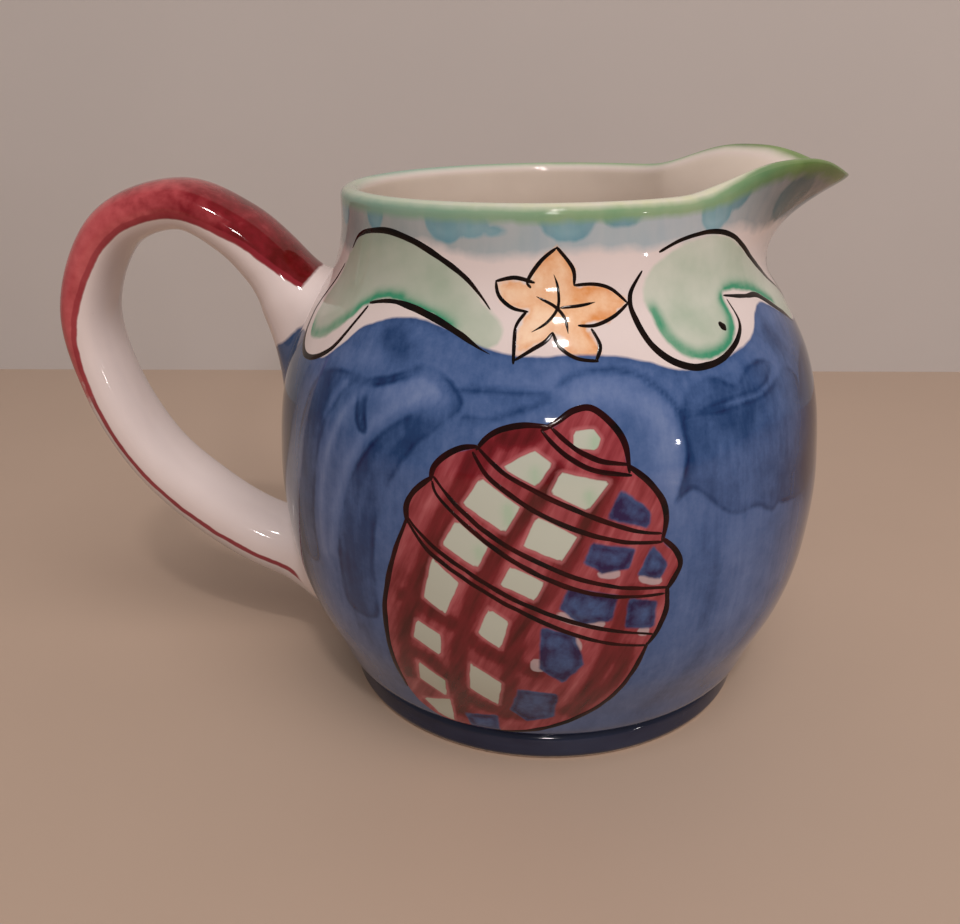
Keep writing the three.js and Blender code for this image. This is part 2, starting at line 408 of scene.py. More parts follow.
CURL_TOP = [
    (-8.7, 15), (-3, 17), (3, 17.8), (8.6, 17.2), (13.6, 15.2), (18.2, 12.2), (24, 8.6), (40, 1),
    (54, -6.4),
]
CURL_ROUND = [
    (-13.2, 11.4), (-16.8, 6.5), (-17.4, 0.8), (-16, -5), (-12.6, -9), (-7.8, -11.2), (-2, -11.4),
    (3.6, -9.6), (8.2, -6.8), (10.6, -3.2), (9.2, 2.4),
]
CURL_LIP = [(8.4, 3.4), (12.4, 2.6), (17.4, 1.7), (23, 0.8), (32, -4.4), (44, -10.6)]
CURL_BODY = [
    (-9.6, 12.6), (-1, 16.4), (8, 16.6), (15.6, 13.2), (24, 8.2), (38, 1.6), (52, -6.2), (44, -10),
    (32, -4), (23, 1.2), (16, 3.2), (8.6, 4.2), (8.6, -2.4), (6.4, -6.8), (1, -9.6), (-6, -9.8),
    (-11, -6.4), (-13.2, -0.6), (-13.8, 7.4),
]
CURL_DEEP = [
    [(-11.6, 2.4), (-10.6, -3.6), (-6, -7.8), (-0.6, -8.8), (4.8, -6.8), (7.4, -2.8), (7.6, 2.6)],
    [(10.4, 4.4), (16, 4.6), (23, 2.4), (30, -1.6)],
]
CURL_DOT = [(3.6, -2.4), (5, -4.6)]

SHELL_OUTLINE = [
    (7.8, 43.2), (12, 46.4), (16, 46.9), (20.6, 43.3), (23.6, 38.8), (24.5, 34.3), (31, 28.2),
    (33.8, 23), (33.3, 16.4), (37.2, 12.6), (38, 9.4), (35.4, 4), (35.2, -1), (34, -6.6),
    (31.2, -11.4), (27.3, -21), (21, -32), (12.7, -39.4), (4, -43.6), (-6, -46.6), (-18, -46.6),
    (-27, -42), (-31.4, -34), (-33.2, -20), (-33.2, -7), (-32, 0.4), (-29.3, 9.6), (-25.4, 19.6),
    (-23.8, 25.8), (-18.8, 30.4), (-16.2, 35.2), (-8.2, 38.4), (-4.4, 41.6), (2, 43.5),
]
SHELL_EDGE = [
    [(5.6, 42.4), (9, 44.4), (12.4, 46.6), (16, 46.9), (20.6, 43.3), (23.6, 38.8), (24.9, 32.6)],
    [(24.2, 34.5), (29, 30.6), (32.6, 26), (33.9, 21.4), (33.2, 16)],
    [(33, 17), (36.4, 13.8), (38.1, 10), (36.9, 6.6), (34.8, 3.2)],
    [(35, 4.6), (35.4, -1), (34, -6.6), (31, -11.6)],
    [(31.2, -10.6), (27.5, -21), (21.1, -31.9), (12.7, -39.5), (3, -44.2), (-7, -46.6)],
    [(-31, -36), (-33.3, -22), (-33.4, -7), (-31.9, 1), (-29, 10.4), (-25.2, 19.8)],
    [(-25.2, 18.6), (-25.3, 22.8), (-23.2, 26.6), (-18.6, 30.6)],
    [(-18.9, 29.6), (-18.2, 32.8), (-15.4, 35.8), (-11.6, 37.8), (-7.8, 38.4)],
    [(-8.4, 37.6), (-6.2, 40.4), (-3, 42.4), (2, 43.5), (8, 43.1)],
]
SHELL_BANDS = [
    [(7.4, 43.2), (10.6, 40.2), (14.4, 37.4), (19.4, 35.4), (24.8, 34.6)],
    [(5.4, 42.6), (8.2, 39.4), (11.8, 36.4), (17, 33.7), (25.4, 32)],
    [(-8, 38.2), (-5, 35.2), (-1, 32.2), (7.8, 27.6), (17, 23.3), (26, 19.6), (33, 18)],
    [(-9.2, 37.2), (-6.6, 33), (-3, 29.8), (5, 24.5), (14.7, 20), (24.5, 17), (33.3, 15.9)],
    [(-18.2, 30.8), (-13.2, 25.2), (-4.7, 18.4), (7.2, 12), (16, 8.2), (25, 5.6), (35.4, 4.2)],
    [(-18.6, 29.6), (-17.4, 26.6), (-12.4, 21.9), (-4.7, 16), (5, 10), (15, 5.6), (24, 3.4), (34.6, 2.6)],
    [
        (-25, 20.2), (-22.4, 17.4), (-17.6, 13.5), (-10, 8.9), (0, 3.2), (10, -1.3), (20, -5.1),
        (32.6, -8.4),
    ],
    [
        (-25.2, 19.4), (-20.6, 13.6), (-15, 9.6), (-4.8, 3.5), (5, -1.9), (15, -6.8), (23, -9.8),
        (31.2, -11.6),
    ],
]
CREAM_SQUARES = [
    [(12.4, 42.2), (16.5, 42.5), (18.2, 40.5), (17.5, 37.9), (12.3, 38.8)],
    [(-2.7, 34.2), (4.2, 38.2), (8.1, 35.2), (4.8, 30.3)],
    [(10, 33.4), (20.5, 31), (16, 24.8), (7.9, 28.9)],
    [(-7.3, 31.6), (1.4, 25.6), (-2, 19.6), (-11.3, 25.3)],
    [(4.9, 23.6), (14, 19), (10.5, 13.2), (2.3, 16.6)],
    [(-12.9, 21.3), (-5.5, 15.9), (-8.1, 10.2), (-16.3, 15.2)],
    [(-0.7, 11.7), (6.9, 7.8), (4.7, 3.1), (-2.9, 6.7)],
    [(-18.8, 11.2), (-12.6, 6), (-16.3, -3), (-21.8, 0.3)],
    [(-5.7, 0.3), (-1.2, -3.1), (-3.3, -11.2), (-8.5, -7.2)],
    [(-24.2, -6.8), (-17.8, -9.7), (-18.4, -16.7), (-25.6, -12.5)],
    [(-10.9, -17.2), (-3.6, -23.2), (-5, -33.4), (-11.7, -27.2)],
    [(-25.1, -21.2), (-18.2, -26.3), (-18.7, -34), (-25.7, -28.5)],
    [(-26.2, -38.8), (-17.9, -35.2), (-17.6, -46.1), (-22.2, -43.6)],
]
BLUE_SQUARES = [
    [(23.3, 28.4), (29.8, 23.2), (29.4, 20.4), (20.9, 23.1)],
    [(17.4, 17), (26.3, 14.7), (25.3, 10.9), (19.6, 10.4), (16.2, 13)],
    [(30.9, 14.7), (34.2, 10.4), (33.1, 7.4), (28.3, 8.9)],
    [(12.6, 6), (22.7, 3.4), (21.6, -2.3), (15.1, -2.8), (10.8, 1.3)],
    [(26.5, 2.2), (32.2, 0.4), (32.1, -6), (25.9, -4.9)],
    [(6.7, -4.7), (13.5, -6.8), (15.3, -15.7), (11.1, -21.3), (6.2, -16.7)],
    [(0.8, -25.8), (9.3, -27), (8.2, -37.3), (2, -39.5), (-1.5, -35.1)],
    [(-13.8, -40.7), (-6.2, -39.4), (-5.7, -46.2), (-12.4, -46)],
]
BARE_SPOTS = [
    [(19, 10.6), (23.4, 10.4), (23.2, 8.3), (19, 8.9)],
    [(10.6, 0.2), (19.9, -2.4), (19.2, -5), (10.5, -2.2)],
    [(3.9, -14), (6.4, -14.2), (6.6, -17.8), (3.9, -17.4)],
    [(13.3, -6.2), (15.4, -8.5), (15, -11.4), (13.4, -9.2)],
    [(28.7, -6), (31.2, -5.9), (31, -8.4), (28.8, -8)],
    [(28.5, 8.8), (33.4, 7.2), (33, 5.3), (28.6, 6.6)],
]
PLAID_STROKES = [
    [(-6.6, 38.4), (-12.9, 26.7), (-18.6, 15.8), (-24.5, 0.6), (-28, -12), (-29, -28)],
    [(8.9, 33.5), (1.4, 22.2), (-4.9, 11.6), (-11.1, -4.5), (-14.4, -20), (-15, -40)],
    [(20.4, 31.6), (14.6, 19), (9.4, 8.7), (1.4, -4.9), (-1.4, -20), (-3.4, -38)],
    [(26.4, 3.9), (20.4, -16.2), (13.5, -36.1)],
    [(-27, -1), (-14, -6), (-7.1, -12.1), (4.5, -18.1)],
    [(-28, -17.5), (-20, -20.6), (-12.1, -33.1), (0.2, -38.1)],
    [(-2, 40.4), (4, 41.4)],
    [(26, -12), (22, -24), (12, -35)],
]
GREEN_SMUDGES = [
    [(4.4, 33.4), (4.9, 30.8)],
    [(16.2, 28.2), (17.2, 26)],
    [(-1.2, 25), (-0.8, 22)],
    [(-7.6, 14.8), (-7.2, 13.4)],
    [(17, 40.4), (17, 38.8)],
    [(-18, -24), (-17.8, -30)],
]

# Top edge of the sea over the front half, degrees round by millimetres up the wall, and the
# lower edge of the pale band. The back half has the same edges mirrored.
SEA_EDGE = [
    (-90, 95.5), (-82, 96.5), (-77, 100), (-72.5, 102.6), (-67, 102.6), (-60, 101.6), (-54, 100.3),
    (-50.5, 102.6), (-47, 106.2), (-43.4, 110.4), (-39.4, 112.8), (-33, 115), (-27, 115.1),
    (-19, 112.9), (-12, 110), (-4, 108.3), (3, 108.6), (10.6, 108.3), (18.5, 106.8), (26, 103.6),
    (32, 103.4), (42, 105.4), (48, 107.6), (53, 112.2), (58.5, 114), (66, 109.6), (74, 105),
    (82, 104.2), (90, 104),
]
BAND_EDGE = [
    (-90, 128.5), (-61, 127.3), (-43, 131), (-30, 132.2), (-15, 129.6), (1, 131), (12, 131.6),
    (24.5, 131), (36, 132.2), (50, 131.8), (60, 129.6), (75, 130.4), (90, 130),
]
# Turquoise dabs under the rim: degrees round, millimetres up, half width and half height.
DABS = [
    (-66, 136.4, 4.2, 3.6), (-47, 137.6, 3.4, 4), (-24, 137.8, 5.6, 5.4), (-17.4, 136.6, 4.6, 2.8),
    (-12.6, 135.4, 3.4, 1.2), (5, 138.2, 6.4, 5), (17.6, 138.8, 5, 3), (44, 136.8, 4.6, 4.6),
    (50, 138, 3, 2.6), (70, 134.6, 6.4, 4.2), (84, 132.8, 5, 3.6),
]
# Soft brush strokes in the sea: degrees round and millimetres up, half width and strength, dark
# above nought and pale below.
SEA_STROKES = [
    ([(-50, 97), (-49, 91), (-51, 86)], 4.6, 0.55),
    ([(-22, 91), (-27, 87), (-32, 80), (-35, 70), (-37, 59), (-39, 46), (-38, 30)], 4.2, 0.45),
    ([(-42.5, 97), (-44.8, 92.5), (-46, 88)], 1.2, -0.8),
    ([(-36.5, 97), (-40.5, 91), (-43.4, 84), (-45.5, 75), (-46.8, 64), (-47, 52)], 1.4, -0.75),
    ([(-24, 97), (-30, 92.6), (-35, 86), (-39, 77), (-42, 66), (-44, 54)], 1.6, -0.6),
    ([(-26, 89), (-31, 82), (-34.4, 72), (-36.4, 60)], 1.1, -0.35),
    ([(-30, 97), (-24, 99.6), (-19, 99)], 3.2, -0.75),
    ([(-34.6, 110.2), (-30, 108)], 3.4, 0.6),
    ([(-45, 103), (-36, 104.4)], 2.6, -0.35),
    ([(-15.4, 100.2), (-9, 100.5), (-3.6, 100.2), (0.4, 99.8)], 0.8, 0.7),
    ([(-14.3, 94.2), (-9.7, 94.2), (-3.5, 96.8), (0.4, 98.4)], 0.8, 0.6),
    ([(2.8, 102.2), (6.2, 104.4), (11.5, 104.9), (16.7, 103.8), (21, 100.3), (24.8, 94.1)], 0.8, 0.75),
    ([(-8, 103), (-2, 102), (2, 104)], 2.6, -0.3),
    ([(6, 100), (12, 100.6), (18, 97), (21, 92), (22.4, 84), (22.6, 76)], 4.2, -0.75),
    ([(24.8, 94), (25.4, 88), (25, 80), (23.4, 74)], 1.4, 0.5),
    ([(54, 106.4), (57, 102.6)], 3.4, 0.6),
    ([(68, 94), (65, 82), (60, 72)], 6, 0.8),
    ([(78, 98), (72, 88), (68, 78), (62, 70)], 7, 0.9),
    ([(58, 58), (56, 47), (53, 38)], 5, -0.55),
    ([(36, 62), (39, 54), (38, 44), (34, 34)], 5, -0.3),
    ([(29, 66), (31, 54), (31, 42)], 2.6, 0.4),
    ([(-62, 84), (-64, 66), (-62, 44)], 5, 0.5),
    ([(-56, 78), (-55, 60), (-53, 42), (-50, 28)], 2.2, -0.35),
    ([(-74, 80), (-75, 60), (-72, 40)], 6, 0.65),
    ([(-31, 30), (-33, 16)], 4, 0.3),
    ([(34, 34), (30, 20), (24, 10)], 4, 0.4),
    ([(52, 40), (47, 24), (42, 14)], 4, 0.5),
    ([(86, 98), (87, 70), (84, 40)], 7, 0.6),
    ([(-88, 92), (-87, 70), (-86, 50)], 5, 0.5),
]
# Washes in the sea with a dark rim where the water dried, closed outlines on the same chart.
SEA_WASHES = [
    [
        (-38.1, 97.4), (-36.3, 99.8), (-31.4, 101.4), (-27.6, 103.4), (-24, 105), (-19.1, 103.2),
        (-15.6, 99.6), (-14.8, 96), (-19.3, 91), (-23.7, 85.6), (-27.6, 77.6), (-30.6, 68),
        (-32, 56), (-33, 40), (-41.4, 40), (-42, 54), (-39.9, 67.5), (-36.7, 78.2), (-32.1, 86.4),
        (-26.8, 92.3), (-21.4, 95.4), (-19.4, 98.4), (-21.6, 101), (-24.8, 101.8), (-28.4, 100.2),
        (-33, 98.2),
    ],
    [
        (-54, 92), (-51.4, 97.2), (-46, 99.8), (-40.4, 100.2), (-36.8, 98.8), (-40.6, 96.6),
        (-42.8, 92.4), (-46, 86), (-48, 74), (-49.4, 60), (-50, 48), (-57, 48), (-57.6, 64),
        (-56.8, 78),
    ],
    [(-38, 98.4), (-35.6, 98.8), (-35, 93), (-34, 87.6), (-36.6, 87.6), (-38.2, 93.4)],
    [
        (25.2, 95), (26.4, 98.3), (29.5, 100.6), (33.5, 100.9), (36.6, 99), (38.9, 98.6),
        (42.7, 101.4), (47.8, 102), (50.7, 100), (48.4, 97), (44.2, 95), (38, 94.8), (32.2, 94),
        (27.4, 93),
    ],
    [
        (24.8, 93.6), (25, 85), (22.6, 74.6), (25.8, 76.8), (29.4, 73.6), (34.7, 68.6),
        (40.9, 68.4), (46.6, 65.6), (52, 74), (56, 84), (60, 93), (55, 98), (46, 94.6), (34, 93.6),
    ],
    [
        (46.8, 67.4), (53.8, 65.2), (61, 65.4), (70, 70), (77, 77), (80, 88), (74, 98), (64, 97),
        (58, 88), (53, 80), (49.4, 73.6),
    ],
]

FRONT = {
    "shell": [Placing(-5, 50)],
    "star": [Placing(2.3, 119), Placing(90, 119.5, turn=14, size=0.84)],
    "tail": [Placing(-42, 115)],
    "curl": [Placing(36, 115)],
}
BACK = {
    "shell": [Placing(184, 50, mirrored=True)],
    "star": [Placing(177.7, 119, turn=-8, mirrored=True)],
    "tail": [Placing(222, 115, mirrored=True)],
    "curl": [Placing(144, 115, mirrored=True)],
}
PLACINGS = {name: FRONT[name] + BACK[name] for name in FRONT}
SHEET_REACH = 62
SEA_SHEET_RADIUS = 71
DAB_SHEET_RADIUS = 56
LEAN_COS, LEAN_SIN = 0.907, 0.42


# ---- the pot --------------------------------------------------------------------------------


def pot_profile():
    """The pot's profile as radius, height and travel up the skin: under the pot, up the
    outside, round the lip by half a circle, down the inside (the outside line moved in along its
    normal by the wall) and across the floor."""
    under = np.array([(20, BED_LEVEL), (40, BED_LEVEL), (53, BED_LEVEL), (55.6, 8.05), (56.8, 8.3)])
    outside = even_steps(OUTSIDE, OUTSIDE_ROWS)
    turn = np.linspace(0, math.pi, LIP_ROWS + 2)[1:-1]
    lip = np.stack(
        [
            NECK_RADIUS - LIP_RADIUS + LIP_RADIUS * np.cos(turn),
            RIM_LEVEL - LIP_RADIUS + LIP_RADIUS * np.sin(turn),
        ],
        1,
    )
    share = 1 - INSIDE_SHARE * np.linspace(0, 1, INSIDE_ROWS) ** INSIDE_CROWDING
    place = at_lengths(OUTSIDE, share * OUTSIDE_LENGTH)
    along = at_lengths(directions(OUTSIDE), share * OUTSIDE_LENGTH)
    inside = place + WALL * np.stack([-along[:, 1], along[:, 0]], 1)
    end = inside[-1]
    floor = np.array(
        [
            end,
            (end[0] - 2.6, FLOOR_LEVEL + 1.1),
            (end[0] - 6.5, FLOOR_LEVEL + 0.2),
            (end[0] - 14, FLOOR_LEVEL),
            (end[0] - 30, FLOOR_LEVEL),
        ]
    )
    corner = curve_through(floor, 9, pull=0.5)[1:]
    line = np.vstack([under, outside, lip, inside, corner])
    return line, travelled(line) - travelled(line)[len(under)]


def pot_rings():
    """Rings of the pot: the profile at evenly spaced angles, drawn closer towards the spout by
    a fifth of the angle's sine, and worked by hand at each place."""
    line, travel = pot_profile()
    even = np.linspace(0, 2 * math.pi, COLUMNS, endpoint=False)
    angle = (even - SPOUT_CROWDING * np.sin(even))[None, :]
    rings = worked(angle, line[:, 0][:, None], line[:, 1][:, None])
    around = np.degrees(angle) + 90 + 0 * travel[:, None]
    return rings, around, travel[:, None] + 0 * angle


def edge_height(points, around):
    """Height of a painted edge at an angle: the front half's line, mirrored to the back."""
    line = curve_through(points, 900)
    return np.interp(folded(around), line[:, 0], line[:, 1])


def motif_depth(name, outlines, around, up, smooth_edge=True):
    """Depth inside a motif's outlines, over every place it is painted: the greatest of the
    depths on each sheet. Only places near an outline are measured."""
    depth = np.full(around.shape, OUTSIDE_SHEET)
    for placing in PLACINGS[name]:
        flat = placing.on_sheet(around, up)
        near = (np.abs(flat) < SHEET_REACH).all(1)
        for outline in outlines:
            line = np.asarray(outline, float)
            if smooth_edge:
                line = curve_through(line, 8 * len(line), closed=True)
            close = near & close_to(flat, line, 6)
            depth[close] = np.maximum(depth[close], depth_in(flat[close], line) * placing.size)
    return depth


def motif_strokes(name, strokes, half_width, around, up, crisp=False):
    """Strength of the strokes of a motif: the bell exp(-(distance / half width)^2) of the
    nearest one, flat-topped for crisp strokes, over every place it is painted."""
    strength = np.zeros(around.shape)
    for placing in PLACINGS[name]:
        flat = placing.on_sheet(around, up)
        for stroke in strokes:
            line = curve_through(stroke, 6 * len(stroke))
            close = close_to(flat, line, 3 * half_width)
            bell = np.exp(-((gap_to(flat[close], line) / half_width) ** (4 if crisp else 2)))
            strength[close] = np.maximum(strength[close], bell)
    return strength


def sea_sheet(around, up):
    """The sea's flat sheet: the arc at the belly's usual radius, by the travel up the wall."""
    return np.stack([np.radians(around) * SEA_SHEET_RADIUS, up], 1)


def sea_tone(around, up):
    """Depth of tone of the sea's soft brushwork: each stroke adds its strength times a bell of
    the distance to it. The back half repeats the front's strokes mirrored."""
    tone = np.zeros(around.shape)
    turned = wrapped(around)
    for mirrored in (False, True):
        half = np.abs(turned) > 62 if mirrored else np.abs(turned) < 118
        here = turned[half]
        sheet = sea_sheet(wrapped(180 - here) if mirrored else here, up[half])
        added = np.zeros(half.sum())
        for path, half_width, strength in SEA_STROKES:
            line = sea_sheet(*curve_through(path, 7 * len(path)).T)
            close = close_to(sheet, line, 3 * half_width)
            away = gap_to(sheet[close], line) / half_width
            added[close] += strength * np.exp(-(away**2))
        fade = eased(66, 84, np.abs(here)) if mirrored else 1 - eased(96, 114, np.abs(here))
        tone[half] += added * fade
    return tone


def wash_depth(around, up):
    """Depth inside the sea's washes, the greatest of them, front and back."""
    sheet = sea_sheet(folded(around), up)
    depth = np.full(around.shape, -6.0)
    for outline in SEA_WASHES:
        line = sea_sheet(*curve_through(outline, 6 * len(outline), closed=True).T)
        close = close_to(sheet, line, 5)
        depth[close] = np.maximum(depth[close], depth_in(sheet[close], line))
    return depth


def dab_depth(around, up):
    """Depth inside the dabs under the rim, each a flattened round, front and back."""
    depth = np.full(around.shape, -8.0)
    for place, height, wide, high in DABS:
        for middle in (place, 180 - place):
            u = np.radians(wrapped(around - middle)) * DAB_SHEET_RADIUS
            depth = np.maximum(depth, high - high * np.hypot(u / wide, (up - height) / high))
    return depth


def paint_pot(pot, around, up):
    """Writes what the pot's glaze reads: how deep each place lies in each painted part."""
    outside = (up > -1) & (up < OUTSIDE_LENGTH + 2)
    a, s = around[outside], up[outside]

    def keep(name, values, elsewhere=OUTSIDE_SHEET):
        full = np.full(around.shape, float(elsewhere))
        full[outside] = values
        note(pot, name, np.concatenate([full, [elsewhere, elsewhere]]))

    note(pot, "up", np.concatenate([up, [-40.0, 400.0]]))
    keep("sea", edge_height(SEA_EDGE, a) - s)
    keep("sea_tone", sea_tone(a, s), 0)
    keep("sea_wash", wash_depth(a, s), -6)
    keep("band", s - edge_height(BAND_EDGE, a))
    keep("dabs", dab_depth(a, s), -8)
    keep("star", motif_depth("star", [STAR_OUTLINE], a, s))
    tail = motif_depth("tail", [TAIL_BODY], a, s)
    keep("wave", np.maximum(tail, motif_depth("curl", [CURL_BODY], a, s)))
    deep = np.maximum(
        motif_strokes("tail", TAIL_DEEP, 2.2, a, s),
        motif_strokes("curl", CURL_DEEP, 2.2, a, s),
    )
    keep("wave_deep", deep, 0)
    inside = np.maximum(
        motif_depth("tail", [TAIL_FIN + [(-14.0, 4.0)]], a, s),
        motif_depth("curl", [CURL_ROUND], a, s),
    )
    keep("wave_white", inside)
    keep("shell", motif_depth("shell", [SHELL_OUTLINE], a, s))
    keep("cream", motif_depth("shell", CREAM_SQUARES, a, s, smooth_edge=False))
    keep("blue", motif_depth("shell", BLUE_SQUARES, a, s, smooth_edge=False))
    keep("bare", motif_depth("shell", BARE_SPOTS, a, s))
    keep("plaid", motif_strokes("shell", PLAID_STROKES, 2.3, a, s, crisp=True), 0)
    keep("smudge", motif_strokes("shell", GREEN_SMUDGES, 1.4, a, s), 0)
    x, y = np.zeros((2, len(a)))
    for placing in PLACINGS["shell"]:
        flat = placing.on_sheet(a, s)
        near = (np.abs(flat) < 60).all(1)
        x[near], y[near] = flat[near].T
    keep("shell_across", LEAN_COS * x - LEAN_SIN * y, 0)
    keep("shell_along", LEAN_SIN * x + LEAN_COS * y, 0)


# ---- ink lines ------------------------------------------------------------------------------

INK_STEP = 0.55
INK_RISE = 0.04
INK_BED = 0.22
INK_LAID = 0.012


def ink_stroke(placing, line, width, seed, start, end, swell):
    """One brushed line as a thin closed bead on the pot. The line runs on the motif's sheet, is
    laid on the surface, and carries a ring at each step: half the width times the sine of the
    section's angle across, and a low dome above the glaze and a shallow bed below it. The width
    swells towards the middle, thins to start and end, and shivers a little."""
    flat = curve_through(line, 40 * len(line))
    flat = even_steps(flat, max(8, int(travelled(flat)[-1] / INK_STEP)))
    around, up = placing.to_pot(flat)
    centre = on_pot(around, up)
    normal = facing_on_pot(around, up)
    along = directions(centre)
    side = np.cross(along, normal)
    share = np.linspace(0, 1, len(flat))
    rng = np.random.default_rng(seed)
    knots = rng.normal(0, 1, (2, max(4, len(flat) // 5)))
    shiver = [np.interp(share, np.linspace(0, 1, knots.shape[1]), k) for k in knots]
    opened = start + (1 - start) * eased(0, 0.16, share)
    closed = end + (1 - end) * eased(0, 0.2, 1 - share)
    fuller = 1 - swell + 1.6 * swell * np.sin(math.pi * share) ** 2 + 0.07 * shiver[0]
    wide = width * np.minimum(opened, closed) * fuller
    wide = wide * np.sqrt(np.clip(np.minimum(share, 1 - share) * len(flat) / 2.0 + 0.25, 0, 1))
    centre = centre + side * (0.05 * shiver[1])[:, None]
    turn = np.linspace(0, 2 * math.pi, 12, endpoint=False)
    across = np.sin(turn)
    lift = np.cos(turn)
    rise = np.where(lift > -0.01, INK_RISE * lift**2, -INK_BED * np.abs(lift) ** 0.5) + INK_LAID
    spread = side[:, None] * (0.5 * wide[:, None] * across)[..., None]
    return closed_skin(centre[:, None] + spread + normal[:, None] * rise[None, :, None])


def ink_piece(name, motif, strokes, material, swell=0.25):
    """All the ink lines of one motif, wherever it is painted, as one piece. A stroke is its
    line, its width and how much of the width is left at its start and end."""
    skins = []
    for place, placing in enumerate(PLACINGS[motif]):
        for number, (line, width, start, end) in enumerate(strokes):
            wide, seed = width * placing.size, 100 * place + number
            skins.append(ink_stroke(placing, line, wide, seed, start, end, swell))
    return piece(name, skins, material)


# ---- foot -----------------------------------------------------------------------------------


def rounded(corners, radius, steps=5):
    """A line through corners with each inner corner turned: between the two places a radius
    away along its sides it is the quadratic (1-t)^2 A + 2t(1-t) C + t^2 B."""
    p = np.asarray(corners, float)
    corner = p[1:-1]
    sides = np.stack([p[:-2] - corner, p[2:] - corner])
    length = np.linalg.norm(sides, axis=2)
    reach = np.minimum(radius, 0.45 * length.min(0))
    a, b = corner + sides / length[..., None] * reach[:, None]
    t = np.linspace(0, 1, steps)[None, :, None]
    turns = (1 - t) ** 2 * a[:, None] + 2 * t * (1 - t) * corner[:, None] + t**2 * b[:, None]
    return np.vstack([p[:1], turns.reshape(-1, 2), p[-1:]])


def foot_rings():
    """The turned foot: a shallow recess, a rounded standing ring and a straight side, turned
    about the axis."""
    line = rounded(
        [
            (12, 1.0),
            (RECESS_RADIUS - 4, 1.0),
            (RECESS_RADIUS, 0.95),
            (RECESS_RADIUS + 1.2, 0.0),
            (FOOT_RADIUS - 1.2, 0.0),
            (FOOT_RADIUS, 1.6),
            (FOOT_RADIUS, FOOT_HEIGHT - 1.6),
            (FOOT_RADIUS - 1.3, FOOT_HEIGHT),
            (40, FOOT_HEIGHT),
            (12, FOOT_HEIGHT),
        ],
        0.8,
    )
    angle = np.linspace(0, 2 * math.pi, 240, endpoint=False)[None, :]
    r, z = line[:, 0][:, None], line[:, 1][:, None]
    return np.stack([r * np.cos(angle), r * np.sin(angle), z + 0 * angle], -1)


# ---- handle ---------------------------------------------------------------------------------


def handle_rings(rows=320, columns=96):
    """The strap: a rounded section carried along the strap line. The section's two halves are
    the sine and cosine of its angle raised to the squareness. It flares at both roots, where it
    also spreads over the pot by a small fillet that dies away exponentially with the distance
    to the wall. At the start of the upper root the inner face hangs down the wall as a tongue:
    its rings are lowered by the tongue's drop, laid onto the wall, and come loose from it with
    an eased step. Inside the wall the strap goes no deeper than its roots are sunk."""
    line = even_steps(curve_through(STRAP_LINE, 2400, pull=0.5), rows)
    along = directions(line)
    run = np.linspace(0, 1, rows)
    curve = curve_through(STRAP_THICKNESS, 600)
    thick = np.interp(run, curve[:, 0], curve[:, 1])
    root = 1 - eased(0, UPPER_ROOT_END, run) + eased(LOWER_ROOT_END, 1, run)
    uneven = 1 + 0.006 * np.sin(run * 19 + 1) + 0.004 * np.sin(run * 43)
    grow = (1 + ROOT_FLARE * root) * uneven
    angle = np.linspace(0, 2 * math.pi, columns, endpoint=False)
    out = np.sign(np.cos(angle)) * np.abs(np.cos(angle)) ** STRAP_SQUARENESS
    side = np.sign(np.sin(angle)) * np.abs(np.sin(angle)) ** STRAP_SQUARENESS
    away = (0.5 * thick * grow)[:, None] * out
    across = (0.5 * STRAP_WIDTH * grow)[:, None] * side
    x = line[:, 0][:, None] + along[:, 1][:, None] * away
    z = line[:, 1][:, None] - along[:, 0][:, None] * away
    rings = np.stack([x, across, z], -1)
    middle = np.stack([line[:, 0], 0 * run, line[:, 1]], 1)[:, None]
    outward = rings - middle
    outward = outward / np.linalg.norm(outward, axis=-1)[..., None]
    off_wall = np.hypot(rings[..., 0], rings[..., 1]) - outside_radius(rings[..., 2])
    fillet = FILLET_HEIGHT * np.exp(-np.maximum(off_wall, 0) / FILLET_REACH)
    rings = rings + outward * fillet[..., None]
    tongue = (1 - eased(0, TONGUE_LENGTH, run))[:, None] * np.maximum(-out, 0)
    rings[..., 2] -= TONGUE_DROP * tongue
    radius = np.hypot(rings[..., 0], rings[..., 1])
    wall = outside_radius(np.clip(rings[..., 2], 9, 138))
    loose = eased(0, LUTED_LENGTH, run)[:, None]
    off = radius - wall
    laid = np.where(off > -LUTED_DEPTH, (off + LUTED_DEPTH) * loose - LUTED_DEPTH, off)
    rings[..., :2] *= (np.maximum(wall + laid, wall - ROOT_SUNK) / np.maximum(radius, 1))[..., None]
    steps = np.linalg.norm(np.diff(rings, axis=1, append=rings[:, :1]), axis=-1)
    girth = np.concatenate([np.zeros((rows, 1)), np.cumsum(steps, 1)[:, :-1]], 1)
    girth = np.minimum(girth, steps.sum(1)[:, None] - girth)
    return rings, girth, run[:, None] + 0 * girth, off_wall


# Half width of the red coat, measured round the strap from the middle of its outer face.
RED_REACH = [
    (0, 13), (0.08, 13.8), (0.2, 17), (0.35, 18.4), (0.45, 17), (0.53, 14.6), (0.62, 14),
    (0.8, 14.6), (0.92, 15.6), (1, 17),
]


def paint_handle(handle, girth, run, off_wall):
    """Writes what the handle's glaze reads: depth inside the red coat, share of the run and
    distance from the pot's wall."""
    curve = curve_through(RED_REACH, 400)
    reach = np.interp(run, curve[:, 0], curve[:, 1])
    ends = [[-20.0, -20.0], [0.0, 1.0], [0.0, 0.0]]
    note(handle, "red", np.concatenate([(reach - girth).ravel(), ends[0]]))
    note(handle, "run", np.concatenate([run.ravel(), ends[1]]))
    note(handle, "off_wall", np.concatenate([off_wall.ravel(), ends[2]]))


# ---- glazes ---------------------------------------------------------------------------------

LIGHT_TINT = (1.0, 0.93, 0.905)
FULLNESS = 1.42
SHEEN = 0.013


